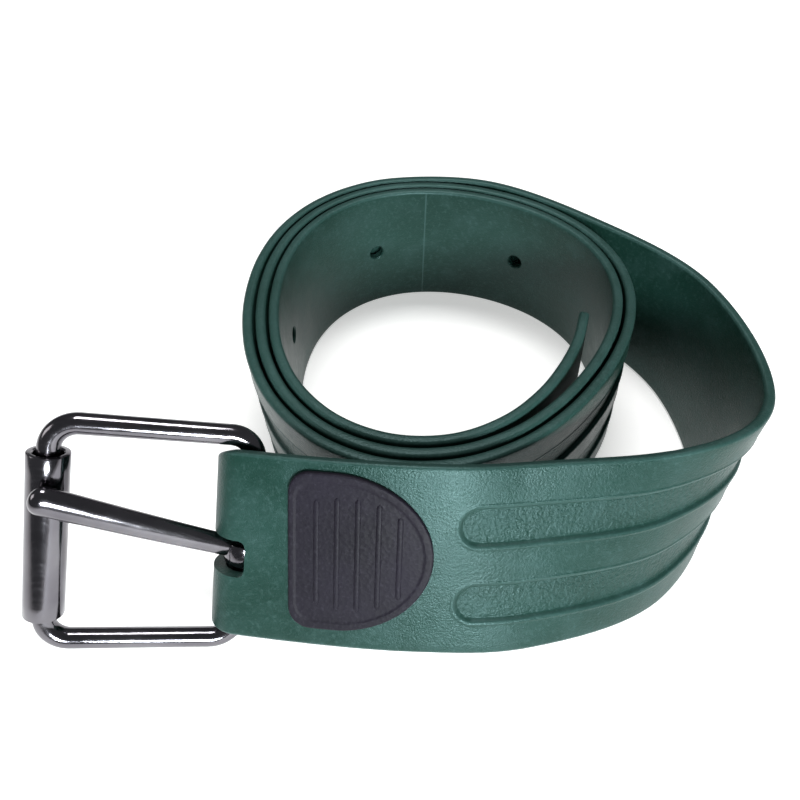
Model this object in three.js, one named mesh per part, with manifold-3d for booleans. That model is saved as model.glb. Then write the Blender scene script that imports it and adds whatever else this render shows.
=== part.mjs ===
// Rubber dive weight belt, standing coiled on its edge, with a stainless roller buckle.
// Units are millimetres, +Z is up, and the belt stands on z = 0.
import * as THREE from 'three';
import * as BufferGeometryUtils from 'three/addons/utils/BufferGeometryUtils.js';
import Module from 'manifold-3d';

const wasm = await Module();
wasm.setup();

// ---- driving dimensions -------------------------------------------------------------
const STRAP_WIDTH = 50;
const STRAP_THICK = 3;
const GAP = 0.3;                     // clearance between touching pieces
const FLOOR_GAP = 0.3;               // height of the coil's lower edge, whose leaning face dips a little

// coil: three turns less a quarter, run clockwise seen from above, starting at the tail
const COIL_RADIUS = 53;
const COIL_PITCH = 3.9;              // growth of the radius per turn
const COIL_START = 15;               // degrees clockwise from +X, where the tail's tip lies
const COIL_END = 975;
const COIL_STEP = 15;
const TAIL_TUCK = 6.8;               // how far the tail's tip stands inside the coil
const TAIL_SPAN = 95;                // degrees over which the tail comes back to the coil

// loop and front run: x, y, z of the lower edge, and the lean in degrees
const FREE_RUN = [
  [17.7, 60, FLOOR_GAP, 2.3],
  [53, 36.5, FLOOR_GAP, 1.6],
  [79.6, 1.4, FLOOR_GAP, -2],
  [81, -47.5, FLOOR_GAP + 0.2, -2],
  [59.2, -79, 4, 18.6],
  [19.7, -96.2, 12.4, 34.4],
  [-8.8, -98.4, 14.8, 34.4],
  [-58.4, -93.6, 13.6, 35.2],
  [-101.9, -85.7, 11.4, 37],
];

// the fold round the buckle's back bar, measured along the strap from the tail
const FOLD_AT = 1310;
const FOLD_RADIUS = 6.4;             // to the middle of the strap's thickness
const RETURN_LENGTH = 42;            // folded-back end behind the front layer
const RETURN_PARALLEL = 3;
const RETURN_CLOSED = 19;            // where the folded-back end lies against the front layer
const RETURN_GAP = 0.4;
const RETURN_TAPER = 9;              // how much lower the folded-back end's top edge is
const TAPER_FROM = 32;               // up the strap's width
const FOLD_SKEW = 3.4;               // degrees that the fold is out of square
const SKEW_SPAN = 14;                // length of strap over which it gets there

const HOLE_RADIUS = 2.75;
const HOLE_FIRST = 43;
const HOLE_SPACING = 57.6;
const HOLE_COUNT = 5;

const SLOT_HALF = 5;
const SLOT_CENTRE = 21.8;
const SLOT_BEFORE = 2.5;             // slot length on the front layer, behind the bar
const SLOT_AFTER = 6;                // slot length on the folded-back layer

const PATCH_FROM_FOLD = 14;
const PATCH_LENGTH = 35;
const PATCH_HALF = 20.7;
const PATCH_CENTRE = 26.6;
const PATCH_THICK = 1.3;
const PATCH_CORNER = 5.4;
const PATCH_ROUND_FROM = 11;         // where the straight sides turn into the round end

const RIVET_FROM_FOLD = 33;
const RIVET_OFFSET = 10;             // above and below the middle of the strap
const RIVET_HEAD_RADIUS = 4.4;
const RIVET_HEAD_THICK = 0.9;
const RIVET_SHANK_RADIUS = 2;
const RIVET_PEEN_RADIUS = 3;
const RIVET_PEEN_THICK = 1;
const WASHER_RADIUS = 5;
const WASHER_THICK = 0.8;
const WASHER_GAP = 0.6;

const WIRE_RADIUS = 2.65;
const FRAME_LENGTH = 46.8;           // back bar to roller bar, centre to centre
const FRAME_WIDTH = 57.8;            // side bar to side bar, centre to centre
const FRAME_CORNER = 6.5;
const FRAME_TURN = -3.5;             // degrees between the bar and the fold
const FRAME_LIFT = 22.5;             // degrees out of the strap's plane
const FRAME_DROP = 2;                // the frame hangs low against the strap's lower edge
const ROLLER_RADIUS = 4.8;
const ROLLER_LENGTH = 43;
const PRONG_RING_RADIUS = 5.1;
const PRONG_RING_WIDTH = 6;
const PRONG_HALF_WIDTH = 3.5;
const PRONG_HALF_THICK = 2.6;
const PRONG_AT = 20.6;               // up the strap's width
const PRONG_OFFSET = 15.2;           // sideways at the roller

const CENTRE_X = 9.022;              // puts the origin under the middle of the whole belt
const CENTRE_Y = 17.36;

// ---- materials ----------------------------------------------------------------------
const material = (name, color, roughness, metalness) =>
  new THREE.MeshStandardMaterial({ name, color, roughness, metalness });
const greenRubber = material('green_rubber', 0x2b4a45, 0.5, 0);
const darkRubber = material('dark_rubber', 0x231f28, 0.6, 0);
const steel = material('polished_steel', 0xb9b9bd, 0.18, 1);

// ---- solids -------------------------------------------------------------------------
const rad = THREE.MathUtils.degToRad;

function solid(geometry) {
  const bare = geometry.index ? geometry.clone() : geometry;
  bare.deleteAttribute('normal');
  bare.deleteAttribute('uv');
  const merged = BufferGeometryUtils.mergeVertices(bare, 1e-4);
  return new wasm.Manifold(new wasm.Mesh({
    numProp: 3,
    vertProperties: new Float32Array(merged.attributes.position.array),
    triVerts: new Uint32Array(merged.index.array),
  }));
}

function geometryOf(manifold) {
  const mesh = manifold.getMesh();
  const geometry = new THREE.BufferGeometry();
  geometry.setAttribute('position', new THREE.BufferAttribute(mesh.vertProperties, 3));
  geometry.setIndex(new THREE.BufferAttribute(mesh.triVerts, 1));
  geometry.computeVertexNormals();
  return geometry;
}

function mapVertices(geometry, place) {
  const position = geometry.attributes.position;
  const point = new THREE.Vector3();
  for (let i = 0; i < position.count; i += 1) {
    point.fromBufferAttribute(position, i);
    place(point);
    position.setXYZ(i, point.x, point.y, point.z);
  }
  return geometry;
}

// ---- the strap's path ---------------------------------------------------------------
function coilRadius(degrees) {
  const a = rad(degrees);
  const oval = -1.9 * Math.cos(2 * a) - 1.5 * Math.sin(2 * a);
  const lobes = 1.9 * Math.cos(3 * a) - 1.3 * Math.sin(3 * a);
  const tuck = TAIL_TUCK * Math.max(0, 1 - degrees / TAIL_SPAN) ** 1.5;
  return COIL_RADIUS + COIL_PITCH * degrees / 360 + oval + lobes - tuck;
}

const coilLean = (degrees) => 1.9 + 3.2 * Math.cos(rad(degrees)) - 2.4 * Math.sin(rad(degrees));

function routeKnots() {
  const knots = [];
  for (let degrees = COIL_START; degrees <= COIL_END; degrees += COIL_STEP) {
    const r = coilRadius(degrees);
    const a = rad(degrees);
    knots.push([r * Math.cos(a), -r * Math.sin(a), FLOOR_GAP, coilLean(degrees)]);
  }
  return knots.concat(FREE_RUN);
}

function sampleRoute(perKnot) {
  const knots = routeKnots();
  const line = new THREE.CatmullRomCurve3(knots.map(([x, y, z]) => new THREE.Vector3(x, y, z)));
  const leans = knots.map((knot) => new THREE.Vector3(knot[3], 0, 0));
  const lean = new THREE.CatmullRomCurve3(leans, false, 'catmullrom', 0.5);
  const count = (knots.length - 1) * perKnot;
  const samples = [];
  let length = 0;
  for (let i = 0; i <= count; i += 1) {
    const u = i / count;
    const at = line.getPoint(u);
    if (i > 0) length += at.distanceTo(samples[i - 1].at);
    samples.push({ at, along: line.getTangent(u), lean: rad(lean.getPoint(u).x), length });
  }
  return samples;
}

const route = sampleRoute(16);

function stationFrame(sample) {
  const along = sample.along.clone().normalize();
  const inward = along.clone().cross(new THREE.Vector3(0, 0, 1)).normalize();
  const up = inward.clone().cross(along);
  const across = up.multiplyScalar(Math.cos(sample.lean))
    .addScaledVector(inward, Math.sin(sample.lean));
  const outward = across.clone().cross(along);
  return { at: sample.at.clone(), along, across, outward };
}

const routeFrames = route.map(stationFrame);

function frameAt(s) {
  let low = 0;
  let high = route.length - 1;
  while (high - low > 1) {
    const middle = (low + high) >> 1;
    if (route[middle].length > s) high = middle;
    else low = middle;
  }
  const t = (s - route[low].length) / (route[high].length - route[low].length);
  const a = routeFrames[low];
  const b = routeFrames[high];
  return {
    at: a.at.clone().lerp(b.at, t),
    along: a.along.clone().lerp(b.along, t).normalize(),
    across: a.across.clone().lerp(b.across, t).normalize(),
    outward: a.outward.clone().lerp(b.outward, t).normalize(),
  };
}

const foldLength = Math.PI * FOLD_RADIUS;
const strapLength = FOLD_AT + foldLength + RETURN_LENGTH;

// how far a point moves along the strap for each mm above its middle
function skewAt(s) {
  const share = THREE.MathUtils.smoothstep(s, FOLD_AT - SKEW_SPAN, FOLD_AT);
  return -Math.tan(rad(FOLD_SKEW)) * share;
}

function skewedFold() {
  const { at, along, across, outward } = frameAt(FOLD_AT);
  const skew = skewAt(FOLD_AT);
  return {
    at: at.addScaledVector(along, -skew * STRAP_WIDTH / 2),
    along: along.clone().addScaledVector(across, -skew).normalize(),
    across: across.clone().addScaledVector(along, skew),
    outward,
  };
}

const foldFrame = skewedFold();

// w lowered near the top edge by the given share of the taper; the slot stays as it is
function narrowed(w, share) {
  const reach = Math.max(0, w - TAPER_FROM) / (STRAP_WIDTH - TAPER_FROM);
  return w - RETURN_TAPER * share * reach;
}

function returnOffset(back) {
  const t = THREE.MathUtils.smoothstep(back, RETURN_PARALLEL, RETURN_CLOSED);
  return THREE.MathUtils.lerp(2 * FOLD_RADIUS, STRAP_THICK + RETURN_GAP, t);
}

// s runs along the strap, w up its width, t through its thickness towards the outer face
function onStrap(s, w, t) {
  if (s <= FOLD_AT) {
    const frame = frameAt(s);
    return frame.at.addScaledVector(frame.across, w).addScaledVector(frame.outward, t)
      .addScaledVector(frame.along, skewAt(s) * (w - STRAP_WIDTH / 2));
  }
  if (s <= FOLD_AT + foldLength) {
    const angle = (s - FOLD_AT) / FOLD_RADIUS;
    const r = FOLD_RADIUS + t;
    const low = narrowed(w, THREE.MathUtils.smoothstep(angle, 0, Math.PI));
    return foldFrame.at.clone().addScaledVector(foldFrame.across, low)
      .addScaledVector(foldFrame.outward, r * Math.cos(angle) - FOLD_RADIUS)
      .addScaledVector(foldFrame.along, r * Math.sin(angle));
  }
  const back = s - FOLD_AT - foldLength;
  const frame = frameAt(FOLD_AT - back);
  const slope = (returnOffset(back + 0.1) - returnOffset(back - 0.1)) / 0.2;
  const tilt = Math.atan(slope);
  const low = narrowed(w, 1);
  const shift = skewAt(FOLD_AT - back) * (low - STRAP_WIDTH / 2);
  return frame.at.addScaledVector(frame.across, low)
    .addScaledVector(frame.outward, -returnOffset(back) - t * Math.cos(tilt))
    .addScaledVector(frame.along, shift + t * Math.sin(tilt));
}

const mapToStrap = (point) => point.copy(onStrap(point.x, point.y, -point.z));

// ---- strap --------------------------------------------------------------------------
function ribbon(from, to, low, high, bottom, top, steps) {
  const box = new THREE.BoxGeometry(to - from, high - low, top - bottom, steps, 1, 1);
  box.translate((from + to) / 2, (low + high) / 2, -(bottom + top) / 2);
  return mapVertices(box, mapToStrap);
}

function holeCutter(s) {
  const drill = new THREE.CylinderGeometry(HOLE_RADIUS, HOLE_RADIUS, STRAP_THICK + 2, 20);
  drill.rotateX(Math.PI / 2);
  drill.translate(s, STRAP_WIDTH / 2, 0);
  return mapVertices(drill, mapToStrap);
}

function slotCutter() {
  const from = FOLD_AT - SLOT_BEFORE;
  const to = FOLD_AT + foldLength + SLOT_AFTER;
  return ribbon(from, to, SLOT_CENTRE - SLOT_HALF, SLOT_CENTRE + SLOT_HALF, -3, 3, 24);
}

function alongNormal(geometry, s, w, t) {
  const frame = frameAt(s);
  const basis = new THREE.Matrix4().makeBasis(
    frame.along, frame.outward, frame.along.clone().cross(frame.outward));
  geometry.applyMatrix4(basis);
  const at = onStrap(s, w, t);
  return geometry.translate(at.x, at.y, at.z);
}

const rivetAt = FOLD_AT - RIVET_FROM_FOLD;
const rivetWidths = [STRAP_WIDTH / 2 + RIVET_OFFSET, STRAP_WIDTH / 2 - RIVET_OFFSET];
const face = STRAP_THICK / 2;
const backFace = -face - RETURN_GAP - STRAP_THICK;

function rivetHoleCutter(w) {
  const depth = RIVET_HEAD_THICK + GAP;
  const profile = [
    [0, backFace - 3],
    [RIVET_SHANK_RADIUS + GAP, backFace - 3],
    [RIVET_SHANK_RADIUS + GAP, face - depth],
    [RIVET_HEAD_RADIUS + GAP, face - depth],
    [RIVET_HEAD_RADIUS + GAP, face + 2],
    [0, face + 2],
  ].map(([r, y]) => new THREE.Vector2(r, y));
  return alongNormal(new THREE.LatheGeometry(profile, 24), rivetAt, w, 0);
}

// sections across the strap: close together round the fold, wider apart elsewhere
function strapStations() {
  const foldEnd = FOLD_AT + foldLength;
  const stations = [0];
  const spans = [[0, FOLD_AT, 6], [FOLD_AT, foldEnd, 1.6], [foldEnd, strapLength, 3]];
  for (const [from, to, step] of spans) {
    const count = Math.round((to - from) / step);
    for (let i = 1; i <= count; i += 1) stations.push(from + (to - from) * i / count);
  }
  return stations;
}

function makeRibbon() {
  const stations = strapStations();
  const count = stations.length - 1;
  const box = new THREE.BoxGeometry(1, STRAP_WIDTH, STRAP_THICK, count, 1, 1);
  return mapVertices(box, (point) => {
    const s = stations[Math.round((point.x + 0.5) * count)];
    point.copy(onStrap(s, STRAP_WIDTH / 2 + point.y, -point.z));
  });
}

function makeStrap() {
  let strap = solid(makeRibbon());
  for (let i = 0; i < HOLE_COUNT; i += 1) {
    strap = strap.subtract(solid(holeCutter(HOLE_FIRST + i * HOLE_SPACING)));
  }
  for (const w of rivetWidths) strap = strap.subtract(solid(rivetHoleCutter(w)));
  return geometryOf(strap.subtract(solid(slotCutter())));
}

// ---- patch bonded on the outer face ---------------------------------------------------
function patchHalf(u) {
  if (u < PATCH_CORNER) {
    const rise = Math.sqrt(PATCH_CORNER ** 2 - (PATCH_CORNER - u) ** 2);
    return PATCH_HALF - PATCH_CORNER + rise;
  }
  const q = Math.max(0, u - PATCH_ROUND_FROM) / (PATCH_LENGTH - PATCH_ROUND_FROM);
  return PATCH_HALF * Math.sqrt(Math.max(0.01, 1 - q * q));
}

function makePatch() {
  const patch = new THREE.BoxGeometry(1, 2, PATCH_THICK, 24, 1, 1);
  return mapVertices(patch, (point) => {
    const u = PATCH_LENGTH * (1 + Math.sin(point.x * Math.PI)) / 2;
    const t = face + GAP + PATCH_THICK / 2 + point.z;
    const w = PATCH_CENTRE + point.y * patchHalf(u);
    point.copy(onStrap(FOLD_AT - PATCH_FROM_FOLD - u, w, t));
  });
}

// ---- rivets and washers ---------------------------------------------------------------
function makeRivet(w) {
  const washerTop = backFace - WASHER_GAP;
  const peen = washerTop - WASHER_THICK - GAP;
  const points = [
    [0, peen - RIVET_PEEN_THICK],
    [RIVET_PEEN_RADIUS - 0.8, peen - RIVET_PEEN_THICK],
    [RIVET_PEEN_RADIUS, peen],
    [RIVET_SHANK_RADIUS, peen],
    [RIVET_SHANK_RADIUS, face - RIVET_HEAD_THICK],
    [RIVET_HEAD_RADIUS, face - RIVET_HEAD_THICK],
    [RIVET_HEAD_RADIUS, face],
    [0, face],
  ].map(([r, y]) => new THREE.Vector2(r, y));
  return alongNormal(new THREE.LatheGeometry(points, 24), rivetAt, w, 0);
}

function makeWasher(w) {
  const top = backFace - WASHER_GAP;
  const inner = RIVET_SHANK_RADIUS + GAP;
  const points = [
    [inner, top - WASHER_THICK],
    [WASHER_RADIUS, top - WASHER_THICK],
    [WASHER_RADIUS, top],
    [inner, top],
    [inner, top - WASHER_THICK],
  ].map(([r, y]) => new THREE.Vector2(r, y));
  return alongNormal(new THREE.LatheGeometry(points, 24), rivetAt, w, 0);
}

// ---- buckle: x from the back bar to the roller, z out of the front, y down ------------
function buckleBasis() {
  const turn = rad(FRAME_TURN);
  const lift = rad(FRAME_LIFT);
  const bar = foldFrame.across.clone().normalize().multiplyScalar(Math.cos(turn))
    .addScaledVector(foldFrame.along, Math.sin(turn));
  const flat = foldFrame.along.clone().multiplyScalar(Math.cos(turn))
    .addScaledVector(foldFrame.across, -Math.sin(turn)).normalize();
  const x = flat.clone().multiplyScalar(Math.cos(lift))
    .addScaledVector(foldFrame.outward, Math.sin(lift));
  const z = bar.clone().cross(x).normalize();
  const origin = onStrap(FOLD_AT, STRAP_WIDTH / 2, -FOLD_RADIUS).addScaledVector(bar, -FRAME_DROP);
  return new THREE.Matrix4().makeBasis(x, bar.clone().negate(), z).setPosition(origin);
}

function wireStations() {
  const stations = [];
  const cornerSteps = 8;
  const halfWidth = FRAME_WIDTH / 2;
  const corners = [
    [FRAME_LENGTH - FRAME_CORNER, halfWidth - FRAME_CORNER, 0],
    [FRAME_CORNER, halfWidth - FRAME_CORNER, 90],
    [FRAME_CORNER, FRAME_CORNER - halfWidth, 180],
    [FRAME_LENGTH - FRAME_CORNER, FRAME_CORNER - halfWidth, 270],
  ];
  for (const [x, y, start] of corners) {
    for (let i = 0; i <= cornerSteps; i += 1) {
      const a = rad(start + 90 * i / cornerSteps);
      const out = new THREE.Vector3(Math.cos(a), Math.sin(a), 0);
      stations.push({ at: new THREE.Vector3(x, y, 0).addScaledVector(out, FRAME_CORNER), out });
    }
  }
  return stations;
}

function makeFrame() {
  const stations = wireStations();
  const count = stations.length;
  const ringRadius = 50;
  const ring = new THREE.TorusGeometry(ringRadius, WIRE_RADIUS, 16, count);
  return mapVertices(ring, (point) => {
    const turn = Math.atan2(point.y, point.x) / (2 * Math.PI);
    const station = stations[(Math.round(turn * count) + count) % count];
    const offset = Math.hypot(point.x, point.y) - ringRadius;
    const height = point.z;
    point.copy(station.at).addScaledVector(station.out, offset);
    point.z = height;
  });
}

function tube(inner, outer, length, sides) {
  const points = [
    [inner, -length / 2],
    [outer, -length / 2],
    [outer, length / 2],
    [inner, length / 2],
    [inner, -length / 2],
  ].map(([r, y]) => new THREE.Vector2(r, y));
  return new THREE.LatheGeometry(points, sides);
}

const makeRoller = () => tube(WIRE_RADIUS + GAP, ROLLER_RADIUS, ROLLER_LENGTH, 32);

function makeProng() {
  const rest = ROLLER_RADIUS + GAP + PRONG_HALF_THICK;
  const reach = Math.hypot(FRAME_LENGTH, PRONG_OFFSET, rest);
  const tip = reach - 0.5;
  const points = [
    [0, 0],
    [2.5, 0.2],
    [2.9, 2.5],
    [3.1, 20],
    [PRONG_HALF_WIDTH, reach - 6],
    [PRONG_HALF_WIDTH, tip],
    [3.1, tip + 1.6],
    [2.1, tip + 2.6],
    [0, tip + 2.9],
  ].map(([r, y]) => new THREE.Vector2(r, y));
  const blade = new THREE.LatheGeometry(points, 20);
  blade.scale(1, 1, PRONG_HALF_THICK / PRONG_HALF_WIDTH);
  blade.rotateZ(-Math.PI / 2);
  blade.rotateY(-Math.asin(rest / reach));
  blade.rotateZ(-Math.atan2(PRONG_OFFSET, FRAME_LENGTH));
  const ring = new THREE.CylinderGeometry(PRONG_RING_RADIUS, PRONG_RING_RADIUS, PRONG_RING_WIDTH, 32);
  const bore = new THREE.CylinderGeometry(WIRE_RADIUS + GAP, WIRE_RADIUS + GAP, 20, 32);
  return geometryOf(solid(ring).add(solid(blade)).subtract(solid(bore)));
}

// ---- assembly -------------------------------------------------------------------------
const belt = new THREE.Group();
belt.position.set(CENTRE_X, CENTRE_Y, 0);

function addPiece(parent, name, geometry, finish, at = [0, 0, 0]) {
  const mesh = new THREE.Mesh(geometry, finish);
  mesh.name = name;
  mesh.position.set(...at);
  parent.add(mesh);
}

addPiece(belt, 'belt_strap', makeStrap(), greenRubber);
addPiece(belt, 'end_patch', makePatch(), darkRubber);
rivetWidths.forEach((w, i) => {
  const where = ['upper', 'lower'][i];
  addPiece(belt, `rivet_${where}`, makeRivet(w), steel);
  addPiece(belt, `rivet_washer_${where}`, makeWasher(w), steel);
});

const buckle = new THREE.Group();
buckleBasis().decompose(buckle.position, buckle.quaternion, buckle.scale);
addPiece(buckle, 'buckle_frame', makeFrame(), steel);
addPiece(buckle, 'buckle_roller', makeRoller(), steel, [FRAME_LENGTH, 0, 0]);
addPiece(buckle, 'buckle_prong', makeProng(), steel, [0, STRAP_WIDTH / 2 - FRAME_DROP - PRONG_AT, 0]);
belt.add(buckle);

export default belt;
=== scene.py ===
# Looks of the coiled rubber dive weight belt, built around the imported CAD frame.
# Lengths are worked out in millimetres along the strap and written to Blender in metres.
import math

import bmesh
import bpy
import numpy as np
from mathutils import Matrix, Vector


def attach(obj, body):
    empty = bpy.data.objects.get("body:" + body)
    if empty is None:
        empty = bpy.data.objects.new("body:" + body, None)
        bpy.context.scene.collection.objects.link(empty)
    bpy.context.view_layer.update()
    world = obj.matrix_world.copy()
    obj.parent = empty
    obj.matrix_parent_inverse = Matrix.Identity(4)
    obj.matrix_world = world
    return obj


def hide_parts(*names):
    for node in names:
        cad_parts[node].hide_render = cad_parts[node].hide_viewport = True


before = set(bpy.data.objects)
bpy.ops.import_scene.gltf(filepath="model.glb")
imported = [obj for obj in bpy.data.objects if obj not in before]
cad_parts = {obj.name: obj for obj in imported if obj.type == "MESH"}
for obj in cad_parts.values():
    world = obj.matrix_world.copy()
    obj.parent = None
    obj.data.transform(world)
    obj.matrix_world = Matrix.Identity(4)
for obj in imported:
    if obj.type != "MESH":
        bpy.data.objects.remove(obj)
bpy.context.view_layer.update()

MM = 0.001

# ---- sizes shared with the CAD model ---------------------------------------------------
CENTRE = np.array([9.022, 17.36, 0.0])
STRAP_WIDTH = 50.0
HALF_THICK = 1.5
GAP = 0.3
FLOOR_GAP = 0.3
STATIONS_PER_KNOT = 16
COIL_RADIUS = 53.0
COIL_PITCH = 3.9
COIL_START = 15
COIL_END = 975
COIL_STEP = 15
# The coil's departures from a plain spiral, as cosine and sine parts in mm, and its lean in
# degrees as a mean with a cosine and a sine part.
COIL_OVAL = (-1.9, -1.5)
COIL_LOBES = (1.9, -1.3)
COIL_LEAN = (1.9, 3.2, -2.4)
TAIL_TUCK = 6.8
TAIL_SPAN = 95.0
TAIL_CURL = 1.5
# Knots of the loose run after the coil: x, y and height in mm, lean in degrees.
FREE_RUN = [
    (17.7, 60, FLOOR_GAP, 2.3),
    (53, 36.5, FLOOR_GAP, 1.6),
    (79.6, 1.4, FLOOR_GAP, -2),
    (81, -47.5, FLOOR_GAP + 0.2, -2),
    (59.2, -79, 4, 18.6),
    (19.7, -96.2, 12.4, 34.4),
    (-8.8, -98.4, 14.8, 34.4),
    (-58.4, -93.6, 13.6, 35.2),
    (-101.9, -85.7, 11.4, 37),
]
FOLD_AT = 1310.0
FOLD_RADIUS = 6.4
FOLD_LENGTH = math.pi * FOLD_RADIUS
RETURN_LENGTH = 42.0
RETURN_PARALLEL = 3.0
RETURN_CLOSED = 19.0
RETURN_GAP = 0.4
RETURN_TAPER = 9.0
TAPER_FROM = 32.0
FOLD_SKEW = math.tan(math.radians(3.4))
SKEW_SPAN = 14.0
STRAP_LENGTH = FOLD_AT + FOLD_LENGTH + RETURN_LENGTH
HOLE_RADIUS = 2.75
FIRST_HOLE = 43
HOLE_SPACING = 57.6
HOLE_COUNT = 5
HOLES = [FIRST_HOLE + HOLE_SPACING * i for i in range(HOLE_COUNT)]
SLOT_CENTRE = 21.8
SLOT_HALF = 5.0
SLOT_BEFORE = 2.5
SLOT_AFTER = 6.0
PATCH_FROM_FOLD = 14.0
PATCH_LENGTH = 35.0
PATCH_HALF = 20.7
PATCH_CENTRE = 26.6
PATCH_THICK = 1.3
PATCH_CORNER = 5.4
PATCH_ROUND_FROM = 11.0
RIVET_FROM_FOLD = 33.0
RIVET_WIDTHS = (35.0, 15.0)
WASHER_GAP = 0.6
WASHER_THICK = 0.8
WASHER_RADIUS = 5.0
WIRE_RADIUS = 2.65
FRAME_LENGTH = 46.8
FRAME_WIDTH = 57.8
FRAME_CORNER = 6.5
FRAME_TURN = math.radians(-3.5)
FRAME_LIFT = math.radians(22.5)
FRAME_DROP = 2.0
ROLLER_RADIUS = 4.8
ROLLER_LENGTH = 43.0
PRONG_AT = 20.6
PRONG_OFFSET = 15.2
PRONG_RING_RADIUS = 5.1
PRONG_RING_WIDTH = 6.0
PRONG_HALF_WIDTH = 3.5
PRONG_HALF_THICK = 2.6

# ---- details that only the visual model has --------------------------------------------
# Strap: rims, tips and cuts.
RIM_RADIUS = 1.0
RIM_POINTS = 6
TIP_ROUND = 1.0
TIP_INSET = 0.9
HOLE_SOFT = 0.35
HOLE_FLARE = 0.4
SLOT_CORNER = 2.0
CUT_REACH = 3.0
AXIS_RADIUS = 0.01
# Strap: channels at these widths, the painted highlight band at their edges, and the mesh's steps
# across.
CHANNELS = (14.2, 34.6)
CHANNEL_HALF = 5.2
CHANNEL_DEPTH = 1.1
CHANNEL_FROM = 105.0
CHANNEL_TO = 1255.5
CHANNEL_SLOPE = 1.0
BEAD_HEIGHT = 0.14
BEAD_WIDTH = 1.0
HIGHLIGHT_BAND = 0.8
EDGE_BAND = 1.2
EDGE_STEP = 0.22
CHANNEL_STEP = 0.6
OUTER_STEP = 1.7
INNER_STEP = 2.4
# Strap: the moulding line across its inner face.
WITNESS_AT = 235.6
WITNESS_HALF = 0.45
WITNESS_HEIGHT = 0.12
WITNESS_PALENESS = 2.2
# Patch.
PATCH_MIDDLE = 0.45
PATCH_REACH = 17
PATCH_FIELD = 0.82
# The patch's edge and border, as (inset from the outline in mm, share of its thickness).
PATCH_LEVELS = [
    (0, 0), (0, 0.5), (0.06, 0.75), (0.18, 0.92), (0.35, 0.98),
    (0.6, 1.0), (1.5, 1.0), (1.7, 0.97), (1.9, 0.86), (2.2, 0.82),
]
# The patch's ribs, as (distance from its straight side, half length) in mm.
RIBS = ((7, 14), (12, 15), (17, 15), (22, 14), (27, 11))
RIB_HALF = 0.7
RIB_RISE = 0.3
RIB_SINK = 0.02
RIB_END = 1.2
# Rivets and washers.
RIVET_SHANK = 2
RIVET_PEEN = 3
RIVET_HEAD = 4.4
RIVET_HEAD_THICK = 0.9
WASHER_BORE = 2.3
# Buckle.
WIRE_SIDES = 28
WIRE_STEP = 2.5
CORNER_POINTS = 15
ROLLER_BORE = 3.3
ROLLER_SOFT = 0.35
ROLLER_COLUMNS = 72
SEAM_AT = math.radians(-70)
SEAM_HALF = 0.035
PRONG_SIDES = 32
PRONG_ROUND = 2.9
PRONG_BOW = 0.35
RING_SOFT = 0.7
RING_BEVEL = 0.2
RING_SIDES = 56


def smoothstep(x, low=0.0, high=1.0):
    t = np.clip((x - low) / (high - low), 0, 1)
    return t * t * (3 - 2 * t)


def unit(v):
    return v / np.linalg.norm(v, axis=-1, keepdims=True)


# ---- the strap's path, the same curve as the CAD model's -------------------------------
def coil_knots():
    degrees = np.arange(COIL_START, COIL_END + 1, COIL_STEP, dtype=float)
    a = np.radians(degrees)
    oval = COIL_OVAL[0] * np.cos(2 * a) + COIL_OVAL[1] * np.sin(2 * a)
    lobes = COIL_LOBES[0] * np.cos(3 * a) + COIL_LOBES[1] * np.sin(3 * a)
    tuck = TAIL_TUCK * np.maximum(0, 1 - degrees / TAIL_SPAN) ** TAIL_CURL
    r = COIL_RADIUS + COIL_PITCH * degrees / 360 + oval + lobes - tuck
    lean = COIL_LEAN[0] + COIL_LEAN[1] * np.cos(a) + COIL_LEAN[2] * np.sin(a)
    return np.stack([r * np.cos(a), -r * np.sin(a), np.full_like(r, FLOOR_GAP), lean], 1)


def spline(points, u, centripetal):
    """A curve through the points at u from 0 to 1, centripetal or plain Catmull-Rom."""
    last = len(points) - 1
    place = np.clip(u, 0, 1) * last
    i = np.minimum(place.astype(int), last - 1)
    w = (place - i)[:, None]
    padded = np.vstack([2 * points[0] - points[1], points, 2 * points[-1] - points[-2]])
    a, b, c, d = (padded[i + k] for k in range(4))
    if centripetal:
        t0, t1, t2 = (
            np.sqrt(np.linalg.norm(q - p, axis=1, keepdims=True))
            for p, q in ((a, b), (b, c), (c, d))
        )
        start = t1 * ((b - a) / t0 - (c - a) / (t0 + t1) + (c - b) / t1)
        end = t1 * ((c - b) / t1 - (d - b) / (t1 + t2) + (d - c) / t2)
    else:
        start, end = 0.5 * (c - a), 0.5 * (d - b)
    square = -3 * b + 3 * c - 2 * start - end
    cube = 2 * b - 2 * c + start + end
    return b + start * w + square * w**2 + cube * w**3


def sample_route():
    """The path's lengths, points and directions, at close stations from the tail to the fold."""
    knots = np.vstack([coil_knots(), np.array(FREE_RUN, dtype=float)])
    u = np.linspace(0, 1, (len(knots) - 1) * STATIONS_PER_KNOT + 1)
    at = spline(knots[:, :3], u, True)
    step = 1e-4
    ahead = spline(knots[:, :3], u + step, True)
    behind = spline(knots[:, :3], u - step, True)
    along = unit(ahead - behind)
    lean = np.radians(spline(knots[:, 3:], u, False))
    inward = unit(np.cross(along, [0, 0, 1.0]))
    up = np.cross(inward, along)
    across = np.cos(lean) * up + np.sin(lean) * inward
    outward = np.cross(across, along)
    lengths = np.concatenate([[0], np.cumsum(np.linalg.norm(np.diff(at, axis=0), axis=1))])
    return lengths, at, along, across, outward


ROUTE = sample_route()


def frame_at(s):
    """The point and the three directions of the path at each length s."""
    lengths, *fields = ROUTE
    at, along, across, outward = (
        np.stack([np.interp(s, lengths, field[:, k]) for k in range(3)], -1) for field in fields
    )
    return at, unit(along), unit(across), unit(outward)


def skew_at(s):
    return -FOLD_SKEW * smoothstep(s, FOLD_AT - SKEW_SPAN, FOLD_AT)


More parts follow.
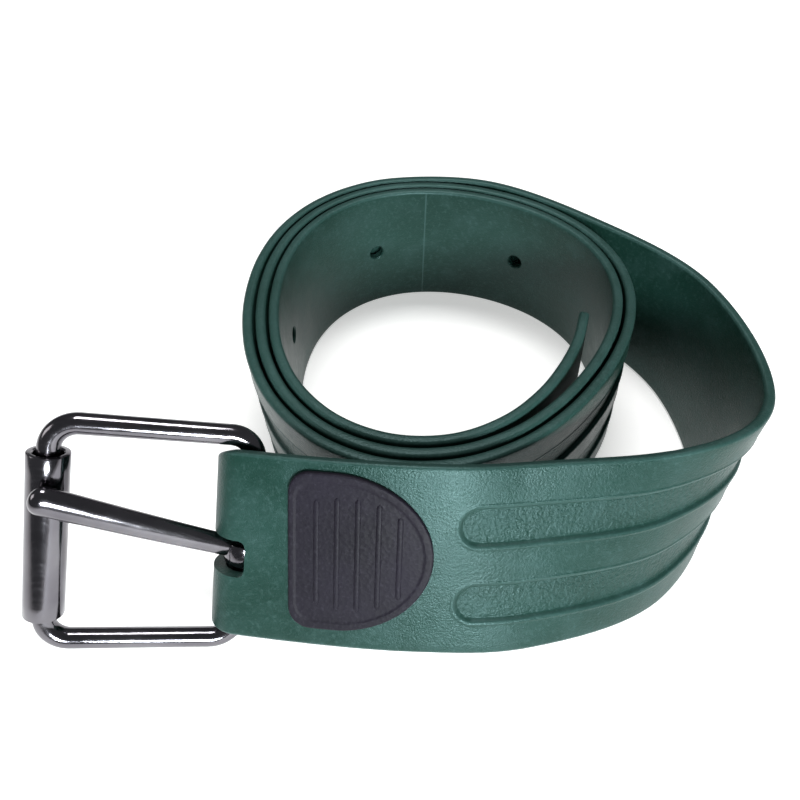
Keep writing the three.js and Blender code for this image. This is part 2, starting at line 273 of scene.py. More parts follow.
def skewed_fold():
    """The point and directions that the fold turns about, with the skew in them."""
    at, along, across, outward = (v[0] for v in frame_at(np.array([FOLD_AT])))
    middle = at + along * FOLD_SKEW * STRAP_WIDTH / 2
    return middle, unit(along + across * FOLD_SKEW), across - along * FOLD_SKEW, outward


FOLD_FRAME = skewed_fold()


def narrowed(w, share):
    """Width w with the top edge of the folded-back end let down by a share of its taper."""
    reach = np.maximum(0, w - TAPER_FROM) / (STRAP_WIDTH - TAPER_FROM)
    return w - RETURN_TAPER * share * reach


def return_offset(back):
    """How far the folded-back end lies behind the front layer, from middle to middle."""
    closing = smoothstep(back, RETURN_PARALLEL, RETURN_CLOSED)
    return 2 * FOLD_RADIUS + (2 * HALF_THICK + RETURN_GAP - 2 * FOLD_RADIUS) * closing


def on_strap(s, w, t):
    """Points in mm for s along the strap, w up its width and t towards its outer face."""
    s, w, t = np.broadcast_arrays(*(np.asarray(v, dtype=float) for v in (s, w, t)))
    shape = s.shape
    s, w, t = s.ravel(), w.ravel(), t.ravel()
    back = s - FOLD_AT - FOLD_LENGTH
    station = np.where(back > 0, FOLD_AT - back, np.minimum(s, FOLD_AT))
    at, along, across, outward = frame_at(station)
    slide = skew_at(station) * (w - STRAP_WIDTH / 2)
    front = at + across * w[:, None] + outward * t[:, None] + along * slide[:, None]
    fold_at, fold_along, fold_across, fold_out = FOLD_FRAME
    angle = (s - FOLD_AT) / FOLD_RADIUS
    r = FOLD_RADIUS + t
    low = narrowed(w, smoothstep(angle, 0, math.pi))
    fold = (
        fold_at
        + fold_across * low[:, None]
        + fold_out * (r * np.cos(angle) - FOLD_RADIUS)[:, None]
        + fold_along * (r * np.sin(angle))[:, None]
    )
    slope = (return_offset(back + 0.1) - return_offset(back - 0.1)) / 0.2
    tilt = np.arctan(slope)
    low = narrowed(w, 1)
    slide = skew_at(station) * (low - STRAP_WIDTH / 2)
    rear = (
        at
        + across * low[:, None]
        - outward * (return_offset(back) + t * np.cos(tilt))[:, None]
        + along * (slide + t * np.sin(tilt))[:, None]
    )
    points = np.where((s <= FOLD_AT)[:, None], front, np.where((back <= 0)[:, None], fold, rear))
    return (points + CENTRE).reshape(*shape, 3)


# ---- mesh helpers ----------------------------------------------------------------------
def make_object(name, points, faces, smooth_angle=40):
    mesh = bpy.data.meshes.new(name)
    mesh.from_pydata([tuple(p) for p in np.asarray(points).reshape(-1, 3) * MM], [], faces)
    mesh.validate()
    finish_mesh(mesh, smooth_angle)
    piece = bpy.data.objects.new(name, mesh)
    bpy.context.scene.collection.objects.link(piece)
    return piece


def finish_mesh(mesh, smooth_angle=40):
    bm = bmesh.new()
    bm.from_mesh(mesh)
    bmesh.ops.remove_doubles(bm, verts=bm.verts, dist=1e-7)
    bmesh.ops.recalc_face_normals(bm, faces=bm.faces)
    bm.to_mesh(mesh)
    bm.free()
    mesh.polygons.foreach_set("use_smooth", [True] * len(mesh.polygons))
    mesh.set_sharp_from_angle(angle=math.radians(smooth_angle))


def loft(rows, closed_rows=False):
    """Faces for a stack of closed loops of equal length, given as [loop][point]."""
    count, size = len(rows), len(rows[0])
    faces = []
    for i in range(count if closed_rows else count - 1):
        j = (i + 1) % count
        for k in range(size):
            n = (k + 1) % size
            faces.append((i * size + k, i * size + n, j * size + n, j * size + k))
    if not closed_rows:
        faces.append(tuple(range(size))[::-1])
        faces.append(tuple((count - 1) * size + k for k in range(size)))
    return faces


def cut(piece, cutter, operation="DIFFERENCE"):
    """Applies one exact boolean to the piece and deletes the cutter."""
    modifier = piece.modifiers.new("cut", "BOOLEAN")
    modifier.operation = operation
    modifier.solver = "EXACT"
    modifier.object = cutter
    evaluated = piece.evaluated_get(bpy.context.evaluated_depsgraph_get())
    mesh = bpy.data.meshes.new_from_object(evaluated)
    piece.modifiers.clear()
    old = piece.data
    piece.data = mesh
    mesh.name = piece.name
    bpy.data.meshes.remove(old)
    bpy.data.objects.remove(cutter)


def lathe(profile, place, sides=48):
    """Loops turned from a profile of (radius, height) points, placed by a function."""
    turns = np.arange(sides) * 2 * math.pi / sides
    rows = []
    for r, h in profile:
        rows.append(place(r * np.cos(turns), r * np.sin(turns), np.full(sides, h)))
    return rows


# ---- strap -----------------------------------------------------------------------------
def channel_edge(s, w):
    """Signed distance in mm from the nearest channel's edge, negative inside it."""
    end = np.clip(s, CHANNEL_FROM + CHANNEL_HALF, CHANNEL_TO - CHANNEL_HALF)
    reach = [np.hypot(s - end, w - centre) for centre in CHANNELS]
    return np.minimum(*reach) - CHANNEL_HALF


def outer_relief(s, w):
    """Height in mm of the outer face above the plain strap: channels sunk, their edges beaded."""
    edge = channel_edge(s, w)
    floor = CHANNEL_DEPTH * smoothstep(-edge, 0, CHANNEL_SLOPE)
    bead = BEAD_HEIGHT * np.sin(np.pi * np.clip(edge / BEAD_WIDTH, 0, 1)) ** 2
    return bead - floor


def spaced(*spans):
    """Evenly spaced values over touching spans of (low, high, wanted step)."""
    values = [spans[0][0]]
    for low, high, step in spans:
        count = max(1, round((high - low) / step))
        values.extend(low + (high - low) * np.arange(1, count + 1) / count)
    return np.array(values)


def strap_section():
    """Loop of (w, t, side) points round the strap's section, starting low on the outer face.

    The side is 1 on the outer face, 0 on the rims and -1 on the inner face.
    """
    edges = [c + side * CHANNEL_HALF for c in CHANNELS for side in (-1, 1)]
    spans, at = [], RIM_RADIUS
    for edge, side in zip(edges, (1, -1) * len(CHANNELS)):
        low, high = sorted((edge - side * EDGE_BAND, edge + side * EDGE_BAND))
        step = CHANNEL_STEP if side < 0 else OUTER_STEP
        spans += [(at, low, step), (low, high, EDGE_STEP)]
        at = high
    spans.append((at, STRAP_WIDTH - RIM_RADIUS, OUTER_STEP))
    outer = [(w, HALF_THICK, 1) for w in spaced(*spans)]
    flat = HALF_THICK - RIM_RADIUS
    bend = np.linspace(0, math.pi / 2, RIM_POINTS)[1:]
    top = STRAP_WIDTH - RIM_RADIUS
    rim_out = [(top + RIM_RADIUS * math.sin(a), flat + RIM_RADIUS * math.cos(a), 0) for a in bend]
    rim_in = [(w, -t, 0) for w, t, _ in rim_out[::-1]]
    inner = [(w, -HALF_THICK, -1) for w in spaced((RIM_RADIUS, top, INNER_STEP))[::-1]]
    foot_in = [(STRAP_WIDTH - w, t, 0) for w, t, _ in rim_in[::-1]]
    foot_out = [(w, -t, 0) for w, t, _ in foot_in[::-1]]
    return np.array(outer + rim_out + rim_in + inner + foot_in + foot_out)


def strap_stations():
    """Where the strap's sections lie along it, closest at the tips, channel ends and fold."""
    fold_end = FOLD_AT + FOLD_LENGTH
    end = STRAP_LENGTH
    tail_tip = [(0, 1, 0.2)]
    tail_with_channel_ends = [(1, 104, 2), (104, 112, 0.6), (112, 234, 2.2)]
    moulding_line = [(234, 237, 0.15)]
    coil_and_loop = [(237, 1170, 2.2), (1170, 1245, 1.6)]
    front_channel_ends = [(1245, 1258, 0.4), (1258, FOLD_AT, 1.8)]
    fold_and_return = [(FOLD_AT, fold_end, 0.8), (fold_end, end - 1, 1.6), (end - 1, end, 0.2)]
    return spaced(*tail_tip, *tail_with_channel_ends, *moulding_line, *coil_and_loop,
                  *front_channel_ends, *fold_and_return)


def make_strap():
    section = strap_section()
    s = strap_stations()[:, None]
    w, t, side = section.T
    end = np.minimum(s, STRAP_LENGTH - s)
    pinch = np.sqrt(1 - (1 - np.clip(end / TIP_ROUND, 0, 1)) ** 2)
    thinning = 0.55 + 0.45 * pinch
    relief = np.where(side == 1, outer_relief(s, w), 0)
    witness = WITNESS_HEIGHT * smoothstep(1 - np.abs(s - WITNESS_AT) / WITNESS_HALF)
    relief = np.where(side == -1, -witness, relief)
    inset = TIP_INSET * (1 - pinch) * (w - STRAP_WIDTH / 2) / (STRAP_WIDTH / 2)
    rows = on_strap(s, w - inset, (t + relief) * thinning)
    piece = make_object("strap_moulded", rows, loft(rows))
    mesh = piece.data
    floor = mesh.attributes.new("channel_floor", "FLOAT", "POINT")
    edge = channel_edge(s, w)
    inside = np.where(side == 1, smoothstep(-edge, 0.5, 1.3), 0)
    # Paler green on the rims and in a band round the channels' edges is a painted highlight; the
    # moulding line on the inner face is made paler too.
    painted_highlight_and_line = np.select(
        [side == 1, side == 0],
        [np.clip(1 - np.abs(edge) / HIGHLIGHT_BAND, 0, 1), 1.0],
        WITNESS_PALENESS * witness / WITNESS_HEIGHT,
    )
    highlight_and_line_mask = mesh.attributes.new("edge_highlight_and_line", "FLOAT", "POINT")
    floor.data.foreach_set("value", np.broadcast_to(inside, rows.shape[:2]).ravel())
    highlight_and_line_mask.data.foreach_set("value", np.broadcast_to(painted_highlight_and_line, rows.shape[:2]).ravel())
    for at in HOLES:
        cut(piece, hole_cutter(at))
    cut(piece, slot_cutter())
    finish_mesh(piece.data, 35)
    return piece


def hole_cutter(at):
    """A round punch at length at, flared at both faces."""
    soft, flare = HALF_THICK - HOLE_SOFT, HOLE_RADIUS + HOLE_FLARE
    wide = flare + 0.3
    profile = [(AXIS_RADIUS, -CUT_REACH), (wide, -CUT_REACH), (flare, -HALF_THICK),
               (HOLE_RADIUS, -soft), (HOLE_RADIUS, soft), (flare, HALF_THICK),
               (wide, CUT_REACH), (AXIS_RADIUS, CUT_REACH)]

    def place(x, y, h):
        return on_strap(at + x, STRAP_WIDTH / 2 + y, h)

    rows = lathe(profile, place, 32)
    return make_object("hole_cutter", rows, loft(rows))


def slot_cutter():
    """The prong's slot with round corners, cut through the fold and both ends beside it."""
    first, last = FOLD_AT - SLOT_BEFORE, FOLD_AT + FOLD_LENGTH + SLOT_AFTER
    corner, deep = SLOT_CORNER, CUT_REACH
    rows = []
    for s in spaced((first, first + corner, 0.4), (first + corner, last - corner, 0.8),
                    (last - corner, last, 0.4)):
        inset = corner - min(corner, s - first, last - s)
        half = SLOT_HALF - corner + math.sqrt(max(0.01, corner**2 - inset**2))
        loop = [(-half, -deep), (half, -deep), (half, deep), (-half, deep)]
        rows.append([on_strap(s, SLOT_CENTRE + y, t) for y, t in loop])
    return make_object("slot_cutter", np.array(rows), loft(rows))


# ---- patch -----------------------------------------------------------------------------
def patch_half(u):
    """The patch's half height at distance u from its straight side."""
    corner = np.sqrt(np.maximum(0, PATCH_CORNER**2 - np.maximum(0, PATCH_CORNER - u) ** 2))
    q = np.clip((u - PATCH_ROUND_FROM) / (PATCH_LENGTH - PATCH_ROUND_FROM), 0, 1)
    straight = PATCH_HALF - PATCH_CORNER + corner
    return np.where(u < PATCH_CORNER, straight, PATCH_HALF * np.sqrt(np.maximum(0, 1 - q * q)))


def patch_outline():
    u = PATCH_LENGTH * (1 - np.cos(np.linspace(0, math.pi, 64))) / 2
    half = patch_half(u)
    upper = np.stack([u, half], 1)
    lower = np.stack([u[::-1], -half[::-1]], 1)[1:]
    left = PATCH_HALF - PATCH_CORNER
    side = np.stack([np.zeros(14), np.linspace(-left, left, 15)[1:]], 1)[:-1]
    return np.vstack([upper, lower, side])


def on_patch(u, v, height):
    base = HALF_THICK + GAP
    return on_strap(FOLD_AT - PATCH_FROM_FOLD - u, PATCH_CENTRE + v, base + height)


def make_patch():
    """The patch: a rounded edge and a raised border round a flat field."""
    outline = patch_outline()
    middle = np.array([PATCH_LENGTH * PATCH_MIDDLE, 0.0])
    rings = [(1 - inset / PATCH_REACH, share) for inset, share in PATCH_LEVELS]
    rings += [(scale, PATCH_FIELD) for scale in np.linspace(0.86, 0.04, 18)]
    rows = []
    for scale, share in rings:
        loop = middle + (outline - middle) * scale
        rows.append(on_patch(loop[:, 0], loop[:, 1], share * PATCH_THICK))
    rows = np.array(rows)
    return make_object("patch_moulded", rows, loft(rows), 50)


def make_ribs():
    """Plain raised grip ribs across the patch."""
    points, faces = [], []
    for u, reach in RIBS:
        rows = []
        for v in np.linspace(-reach, reach, 41):
            end = min(1.0, (reach - abs(v)) / RIB_END)
            size = max(0.05, math.sqrt(1 - (1 - end) ** 2))
            turn = np.linspace(0, 2 * math.pi, 12, endpoint=False)
            across = RIB_HALF * size * np.cos(turn)
            height = PATCH_THICK * PATCH_FIELD - RIB_SINK + RIB_RISE * size * np.sin(turn)
            rows.append(on_patch(u + across, np.full(12, v), height))
        start = sum(len(p) for p in points)
        faces += [tuple(start + i for i in face) for face in loft(rows)]
        points.append(np.array(rows).reshape(-1, 3))
    return make_object("patch_ribs", np.vstack(points), faces, 60)


# ---- rivets and washers ----------------------------------------------------------------
BACK_FACE = -HALF_THICK - RETURN_GAP - 2 * HALF_THICK


def rivet_place(w):
    """A function that sets points (x, y, height) square to the strap at the rivet at width w."""
    at = on_strap(FOLD_AT - RIVET_FROM_FOLD, w, 0)
    _, along, _, outward = (v[0] for v in frame_at(np.array([FOLD_AT - RIVET_FROM_FOLD])))
    side = np.cross(along, outward)

    def place(x, y, h):
        return at + along * x[:, None] + side * y[:, None] + outward * h[:, None]

    return place


def make_rivet(name, w):
    """A flat head sunk in the outer face, a shank, and a domed peened end behind the washer."""
    peen = BACK_FACE - WASHER_GAP - WASHER_THICK - GAP
    core = 2 * AXIS_RADIUS
    dome = [(core, peen - 1), (1.2, peen - 0.95), (2.2, peen - 0.7), (2.8, peen - 0.3)]
    shank = [(RIVET_PEEN, peen), (RIVET_SHANK, peen), (RIVET_SHANK, HALF_THICK - RIVET_HEAD_THICK)]
    head = [(4.2, HALF_THICK - RIVET_HEAD_THICK), (RIVET_HEAD, HALF_THICK - 0.7),
            (RIVET_HEAD, HALF_THICK - 0.2), (4.2, HALF_THICK), (core, HALF_THICK)]
    profile = dome + shank + head
    rows = lathe(profile, rivet_place(w))
    return make_object(name, np.array(rows), loft(rows))


def make_washer(name, w):
    top = BACK_FACE - WASHER_GAP
    low = top - WASHER_THICK
    profile = [(WASHER_BORE, low), (4.75, low), (WASHER_RADIUS, low + 0.2),
               (WASHER_RADIUS, top - 0.2), (4.75, top), (WASHER_BORE, top)]
    rows = lathe(profile, rivet_place(w))
    return make_object(name, np.array(rows), loft(rows, closed_rows=True))


# ---- buckle ----------------------------------------------------------------------------
def buckle_axes():
    """The back bar's middle, and the frame's length, width and thickness directions."""
    _, along, across, outward = FOLD_FRAME
    across = unit(across)
    bar = across * math.cos(FRAME_TURN) + along * math.sin(FRAME_TURN)
    flat = along * math.cos(FRAME_TURN) - across * math.sin(FRAME_TURN)
    x = flat * math.cos(FRAME_LIFT) + outward * math.sin(FRAME_LIFT)
    z = unit(np.cross(bar, x))
    origin = on_strap(FOLD_AT, STRAP_WIDTH / 2, -FOLD_RADIUS) - bar * FRAME_DROP
    return origin, x, -bar, z


ORIGIN, BUCKLE_X, BUCKLE_Y, BUCKLE_Z = buckle_axes()


def on_buckle(x, y, z):
    x, y, z = np.broadcast_arrays(*(np.asarray(v, dtype=float) for v in (x, y, z)))
    return ORIGIN + x[..., None] * BUCKLE_X + y[..., None] * BUCKLE_Y + z[..., None] * BUCKLE_Z


def wire_path():
    """Points of the frame's centre line with their outward directions, in the frame's plane."""
    half = FRAME_WIDTH / 2
    far, near = FRAME_LENGTH - FRAME_CORNER, FRAME_CORNER
    corners = [(far, half - near, 0), (near, half - near, 90), (near, near - half, 180),
               (far, near - half, 270)]
    path = []
    for x, y, start in corners:
        for a in np.radians(np.linspace(start, start + 90, CORNER_POINTS)):
            out = np.array([math.cos(a), math.sin(a)])
            path.append((np.array([x, y]) + out * FRAME_CORNER, out))
    dense = []
    for (p, out), (q, _) in zip(path, path[1:] + path[:1]):
        steps = max(1, round(np.linalg.norm(q - p) / WIRE_STEP))
        dense += [(p + (q - p) * i / steps, out) for i in range(steps)]
    return dense


def make_wire():
    turn = np.linspace(0, 2 * math.pi, WIRE_SIDES, endpoint=False)
    rows = []
    for centre, out in wire_path():
        offset = WIRE_RADIUS * np.cos(turn)
        rows.append(on_buckle(centre[0] + out[0] * offset, centre[1] + out[1] * offset,
                              WIRE_RADIUS * np.sin(turn)))
    return make_object("buckle_wire", np.array(rows), loft(rows, closed_rows=True), 60)


def make_roller():
    """Sheet rolled round the wire, with its seam left open a hair at the back."""
    inner, outer = ROLLER_BORE, ROLLER_RADIUS
    half, soft = ROLLER_LENGTH / 2, ROLLER_SOFT
    section = [(inner, -half + soft), (inner + soft, -half), (outer - soft, -half),
               (outer - 0.1, -half + 0.1), (outer, -half + soft)]
    section += [(outer, y) for y in np.linspace(-half + soft, half - soft, 12)[1:]]
    section += [(outer - 0.1, half - 0.1), (outer - soft, half), (inner + soft, half),
                (inner, half - soft)]
    r, y = np.array(section).T
    last = SEAM_AT + 2 * math.pi - SEAM_HALF
    rows = []
    for a in np.linspace(SEAM_AT + SEAM_HALF, last, ROLLER_COLUMNS):
        rows.append(on_buckle(FRAME_LENGTH + r * math.cos(a), y, r * math.sin(a)))
    return make_object("buckle_roller_sheet", np.array(rows), loft(rows), 40)


def make_prong():
    """A bowed tongue from the back bar to the roller, joined to the eye round the bar."""
    rest = ROLLER_RADIUS + GAP + PRONG_HALF_THICK
    reach = math.sqrt(FRAME_LENGTH**2 + PRONG_OFFSET**2 + rest**2)
    tip = reach - 0.5
    y0 = STRAP_WIDTH / 2 - FRAME_DROP - PRONG_AT
    rise, swerve = math.asin(rest / reach), math.atan2(PRONG_OFFSET, FRAME_LENGTH)
    axis = np.array([math.cos(rise) * math.cos(swerve), -math.cos(rise) * math.sin(swerve),
                     math.sin(rise)])
    side = np.array([math.sin(swerve), math.cos(swerve), 0])
    up = np.cross(axis, side)
    turn = np.linspace(0, 2 * math.pi, PRONG_SIDES, endpoint=False)
    along = list(np.linspace(1.5, reach - 6, 24)) + list(np.linspace(reach - 5, tip, 6))
    widening = ([1.5, 4, 20, reach - 6], [2.3, 2.8, 3.1, PRONG_HALF_WIDTH])
    half = [float(np.interp(x, *widening)) for x in along]
    for a in np.linspace(0, math.pi / 2, 9)[1:]:
        along.append(tip + PRONG_ROUND * math.sin(a))
        half.append(max(0.03, PRONG_HALF_WIDTH * math.cos(a)))
    rows = []
    for x, r in zip(along, half):
        thick = r * PRONG_HALF_THICK / PRONG_HALF_WIDTH
        bow = PRONG_BOW * math.sin(math.pi * min(1, x / reach))
        loop = (axis * x + up * bow + side * (r * np.cos(turn))[:, None]
                + up * (thick * np.sin(turn))[:, None])
        rows.append(on_buckle(loop[:, 0], y0 + loop[:, 1], loop[:, 2]))
    blade = make_object("buckle_tongue", np.array(rows), loft(rows))
    edge, core, deep = PRONG_RING_WIDTH / 2, 2 * AXIS_RADIUS, 3 * CUT_REACH
    side_face = [(core, -edge), (PRONG_RING_RADIUS - RING_SOFT, -edge),
                 (PRONG_RING_RADIUS - RING_BEVEL, -edge + RING_BEVEL),
                 (PRONG_RING_RADIUS, -edge + RING_SOFT)]
    ring = side_face + [(r, -h) for r, h in side_face[::-1]]
    cut(blade, round_bar_body("ring_body", ring, y0), "UNION")
    bore_radius = WIRE_RADIUS + GAP
    bore = [(core, -deep), (bore_radius, -deep), (bore_radius, deep), (core, deep)]
    cut(blade, round_bar_body("bore_body", bore, y0))
    finish_mesh(blade.data, 32)
    return blade


def round_bar_body(name, profile, y0):
    """A body turned about the back bar, with its middle at y0 along the bar."""
    def place(x, y, h):
        return on_buckle(x, y0 + h, y)

    rows = np.array(lathe(profile, place, RING_SIDES))
    return make_object(name, rows, loft(rows))


# ---- materials -------------------------------------------------------------------------
RUBBER_IOR = 1.5
DEEP_GREEN = (0.004, 0.02, 0.0135)
GREEN = (0.011, 0.036, 0.0285)
MOTTLED_GREEN = (0.018, 0.045, 0.039)
HIGHLIGHT_AND_LINE_GREEN = (0.05, 0.1, 0.094)
SPECK_GREEN = (0.06, 0.115, 0.108)
DEEP_BLACK = (0.004, 0.0032, 0.006)
SOFT_BLACK = (0.01, 0.008, 0.0145)
SPECK_BLACK = (0.04, 0.036, 0.05)
DARK_STEEL = (0.12, 0.112, 0.126)
STEEL_GREY = (0.2, 0.191, 0.204)


class Finish:
    """A procedural material, with short calls for the nodes that it is made of."""

    def __init__(self, name, **sockets):
        self.material = bpy.data.materials.new(name)
        self.material.use_nodes = True
        self.tree = self.material.node_tree
        self.shader = self.tree.nodes["Principled BSDF"]
        for socket, value in sockets.items():
            self.shader.inputs[socket.replace("_", " ")].default_value = value
        self.place = self.node("ShaderNodeTexCoord").outputs["Object"]

    def node(self, kind, **settings):
        node = self.tree.nodes.new(kind)
        for key, value in settings.items():
            setattr(node, key, value)
        return node

    def link(self, source, target):
        self.tree.links.new(source, target)

    def stretched(self, scale):
        mapping = self.node("ShaderNodeMapping")
        mapping.inputs["Scale"].default_value = scale
        self.link(self.place, mapping.inputs["Vector"])
        return mapping.outputs["Vector"]

    def noise(self, scale, detail=3.0, place=None, rough=0.5):
        node = self.node("ShaderNodeTexNoise")
        node.inputs["Scale"].default_value = scale
        node.inputs["Detail"].default_value = detail
        node.inputs["Roughness"].default_value = rough
        self.link(place or self.place, node.inputs["Vector"])
        return node.outputs["Fac"]

    def ramp(self, value, *stops):
        """A colour that goes between two stops of (value, colour)."""
        node = self.node("ShaderNodeValToRGB")
        for element, (at, color) in zip(node.color_ramp.elements, stops):
            element.position = at
            element.color = (*color, 1)
        self.link(value, node.inputs["Fac"])
        return node.outputs["Color"]

    def remap(self, value, low, high, to_low, to_high):
        node = self.node("ShaderNodeMapRange")
        for socket, number in zip(("From Min", "From Max", "To Min", "To Max"),
                                  (low, high, to_low, to_high)):
            node.inputs[socket].default_value = number
        self.link(value, node.inputs["Value"])
        return node.outputs["Result"]

    def math(self, operation, a, b):
        node = self.node("ShaderNodeMath", operation=operation)
        for value, socket in ((a, node.inputs[0]), (b, node.inputs[1])):
            if isinstance(value, (int, float)):
                socket.default_value = value
            else:
                self.link(value, socket)
        return node.outputs[0]

    def mix(self, factor, a, b):
        node = self.node("ShaderNodeMix", data_type="RGBA")
        for value, socket in ((factor, node.inputs[0]), (a, node.inputs[6]), (b, node.inputs[7])):
            if isinstance(value, tuple):
                socket.default_value = (*value, 1)
            else:
                self.link(value, socket)
        return node.outputs[2]

    def attribute(self, name):
        return self.node("ShaderNodeAttribute", attribute_name=name).outputs["Fac"]

    def bump(self, height, strength, distance, normal=None):
        """A bump of a strength and a depth in metres, on top of an earlier one if given."""
        node = self.node("ShaderNodeBump")
        node.inputs["Strength"].default_value = strength
        node.inputs["Distance"].default_value = distance
        self.link(height, node.inputs["Height"])
        if normal:
            self.link(normal, node.inputs["Normal"])
        return node.outputs["Normal"]

    def set(self, **outputs):
        """Links outputs to the shader's sockets and returns the finished material."""
        for socket, output in outputs.items():
            self.link(output, self.shader.inputs[socket.replace("_", " ")])
        return self.material


def green_rubber():
    """Mottled dark green rubber with a painted highlight in paler green on its rims and channel
    edges, a paler moulding line, and coarser channel floors.
    """
    m = Finish("green_rubber", IOR=RUBBER_IOR, Specular_IOR_Level=0.26,
               Specular_Tint=(0.64, 0.95, 0.95, 1))
    cloud = m.noise(26, 4, rough=0.6)
    patches = m.noise(110, 4, rough=0.62)
    speck = m.noise(820, 3, rough=0.65)
    floor = m.attribute("channel_floor")
    highlight_and_line_mask = m.attribute("edge_highlight_and_line")
    body = m.ramp(cloud, (0.32, DEEP_GREEN), (0.68, GREEN))
    body = m.mix(m.remap(patches, 0.48, 0.7, 0, 0.55), body, MOTTLED_GREEN)
    # Paler green: a painted highlight on the rims and channel edges, and a paler moulding line.
    body = m.mix(m.math("MULTIPLY", highlight_and_line_mask, 0.25), body, HIGHLIGHT_AND_LINE_GREEN)
    dust = m.math("MULTIPLY", m.remap(speck, 0.52, 0.72, 0, 1), 0.2)
    body = m.mix(dust, body, SPECK_GREEN)
    rough = m.remap(patches, 0.35, 0.65, 0.33, 0.41)
    rough = m.math("ADD", rough, m.math("MULTIPLY", floor, 0.04))
    rough = m.math("ADD", rough, m.remap(speck, 0.35, 0.65, -0.025, 0.025))
    grain = m.bump(m.noise(2400, 2), 0.2, 0.0002)
    leather = m.bump(m.noise(1700, 3, rough=0.6), 0.42, 0.0003, grain)
    flow = m.bump(m.noise(130, 2), 0.1, 0.001, leather)
    stipple = m.math("MULTIPLY", floor, m.noise(900, 3))
    return m.set(Base_Color=body, Roughness=rough, Normal=m.bump(stipple, 0.8, 0.0005, flow))


def dark_rubber():
    """Pebbled near-black rubber of the patch."""
    m = Finish("dark_rubber", IOR=RUBBER_IOR, Specular_IOR_Level=0.14)
    cloud = m.noise(60, 4)
    speck = m.noise(1300, 2)
    body = m.ramp(cloud, (0.3, DEEP_BLACK), (0.75, SOFT_BLACK))
    body = m.mix(m.remap(speck, 0.55, 0.8, 0, 0.3), body, SPECK_BLACK)
    cells = m.node("ShaderNodeTexVoronoi")
    cells.inputs["Scale"].default_value = 850
    m.link(m.place, cells.inputs["Vector"])
    pebble = m.bump(cells.outputs["Distance"], 0.25, 0.0003)
    return m.set(Base_Color=body, Roughness=m.remap(cloud, 0.3, 0.7, 0.5, 0.64),
                 Normal=m.bump(speck, 0.15, 0.0002, pebble))


def polished_steel():
    """Dark polished steel with smears and fine scratches."""
    m = Finish("polished_steel", Metallic=1.0)
    smear = m.noise(70, 4)
    scratch = m.noise(300, 2, m.stretched((1, 8, 1)))
    body = m.ramp(smear, (0.3, DARK_STEEL), (0.75, STEEL_GREY))
    rough = m.remap(smear, 0.3, 0.7, 0.09, 0.17)
    rough = m.math("ADD", rough, m.remap(scratch, 0.5, 0.8, 0, 0.08))
    fine = m.bump(scratch, 0.08, 0.0001)
    waves = m.bump(m.noise(160, 2), 0.06, 0.0006, fine)
    return m.set(Base_Color=body, Roughness=rough, Normal=waves)


# ---- assembly --------------------------------------------------------------------------
RUBBER, PATCH, STEEL = green_rubber(), dark_rubber(), polished_steel()


def dress(piece, body, material, slot, *nodes):
    """Gives the piece its material and body, and hides the CAD nodes that it stands in for. The
    slot argument is not used.
    """
    piece.data.materials.clear()
    piece.data.materials.append(material)
    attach(piece, body)
    if nodes:
        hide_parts(*nodes)


dress(make_strap(), "belt", RUBBER, "green_rubber", "belt_strap")
dress(make_patch(), "belt", PATCH, "dark_rubber", "end_patch")
dress(make_ribs(), "belt", PATCH, "dark_rubber")
for label, width in zip(("upper", "lower"), RIVET_WIDTHS):
    dress(make_rivet(f"rivet_body_{label}", width), "belt", STEEL, "steel", f"rivet_{label}")
    dress(make_washer(f"washer_body_{label}", width), "belt", STEEL, "steel",
          f"rivet_washer_{label}")
dress(make_wire(), "frame", STEEL, "steel", "buckle_frame")
dress(make_roller(), "roller", STEEL, "steel", "buckle_roller")
dress(make_prong(), "prong", STEEL, "steel", "buckle_prong")


# ---- stage -----------------------------------------------------------------------------
FLOOR_HALF = 3000
FLOOR_GLOW = 0.55
WORLD_COLOR = (0.86, 0.9, 0.95, 1)
WORLD_STRENGTH = 0.15
CAMERA_PITCH = math.radians(49.89)
CAMERA_YAW = math.radians(-0.3)
CAMERA_ROLL = math.radians(0.13)
CAMERA_AT = Vector((-13.3 + CENTRE[0], -158.63 + CENTRE[1], 184.31))
CAMERA_LENS = 29.99


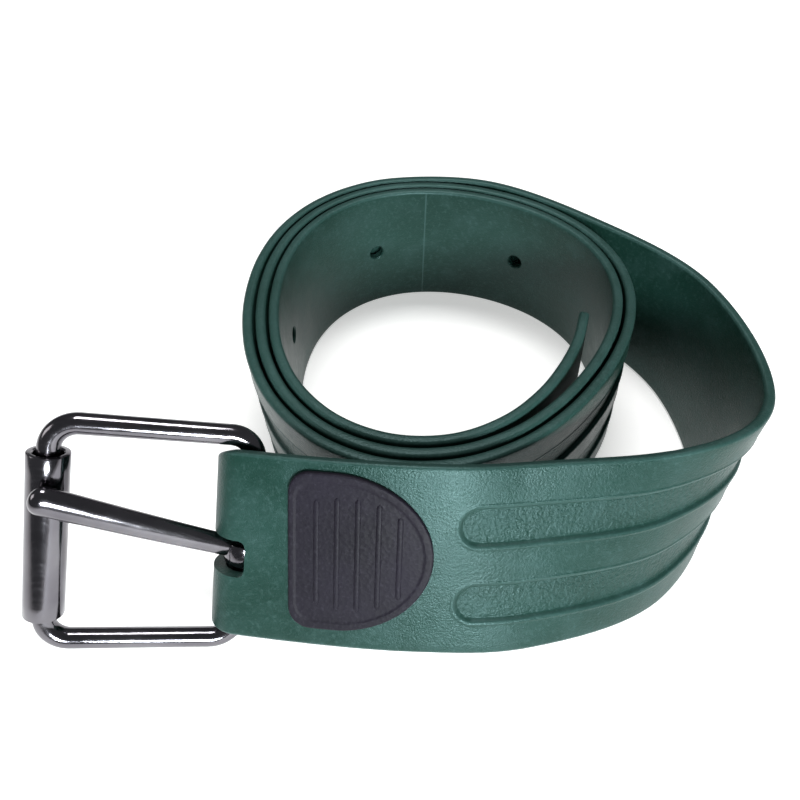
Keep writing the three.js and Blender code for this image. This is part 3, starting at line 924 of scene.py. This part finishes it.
def make_floor():
    size = FLOOR_HALF
    corners = [(-size, -size, 0), (size, -size, 0), (size, size, 0), (-size, size, 0)]
    floor = make_object("floor", np.array(corners, dtype=float), [(0, 1, 2, 3)])
    m = Finish("pale_floor", Roughness=0.85, Specular_IOR_Level=0.1)
    shade = m.ramp(m.noise(3, 2), (0.3, (0.88, 0.88, 0.87)), (0.7, (0.9, 0.9, 0.89)))
    m.shader.inputs["Emission Strength"].default_value = FLOOR_GLOW
    floor.data.materials.append(m.set(Base_Color=shade, Emission_Color=shade))


def area_light(name, at, target, size, power, color=(1, 1, 1), spread=180):
    light = bpy.data.lights.new(name, "AREA")
    light.shape = "RECTANGLE"
    light.size, light.size_y = size
    light.energy = power
    light.spread = math.radians(spread)
    light.color = color
    lamp = bpy.data.objects.new(name, light)
    lamp.location = at
    lamp.rotation_euler = (Vector(target) - Vector(at)).to_track_quat("-Z", "Y").to_euler()
    bpy.context.scene.collection.objects.link(lamp)


def make_camera():
    pitch, yaw, roll = CAMERA_PITCH, CAMERA_YAW, CAMERA_ROLL
    forward = Vector((math.sin(yaw) * math.cos(pitch), math.cos(yaw) * math.cos(pitch),
                      -math.sin(pitch)))
    right = Vector((math.cos(yaw), -math.sin(yaw), 0))
    up = right.cross(forward)
    right, up = (right * math.cos(roll) + up * math.sin(roll),
                 up * math.cos(roll) - right * math.sin(roll))
    data = bpy.data.cameras.new("camera")
    data.sensor_width = 36
    data.lens = CAMERA_LENS
    data.clip_start = 0.01
    camera = bpy.data.objects.new("camera", data)
    turn = Matrix((right, up, -forward)).transposed().to_4x4()
    camera.matrix_world = Matrix.Translation(CAMERA_AT * MM) @ turn
    bpy.context.scene.collection.objects.link(camera)
    bpy.context.scene.camera = camera


def make_world():
    world = bpy.data.worlds.new("studio")
    world.use_nodes = True
    background = world.node_tree.nodes["Background"]
    background.inputs["Color"].default_value = WORLD_COLOR
    background.inputs["Strength"].default_value = WORLD_STRENGTH
    bpy.context.scene.world = world


make_floor()
make_camera()
make_world()
area_light("key", (0.17, -0.8, 0.3), (0.0, -0.07, 0.035), (0.26, 0.18), 2.15,
           color=(0.9, 0.97, 1), spread=70)
area_light("overhead", (0.0, 0.2, 0.75), (0, -0.03, 0.05), (0.3, 0.2), 4)
area_light("side", (-0.75, -0.1, 0.45), (-0.05, 0, 0.03), (0.3, 0.3), 0.8,
           color=(1, 0.98, 0.95))
bpy.context.scene.view_settings.view_transform = "Standard"
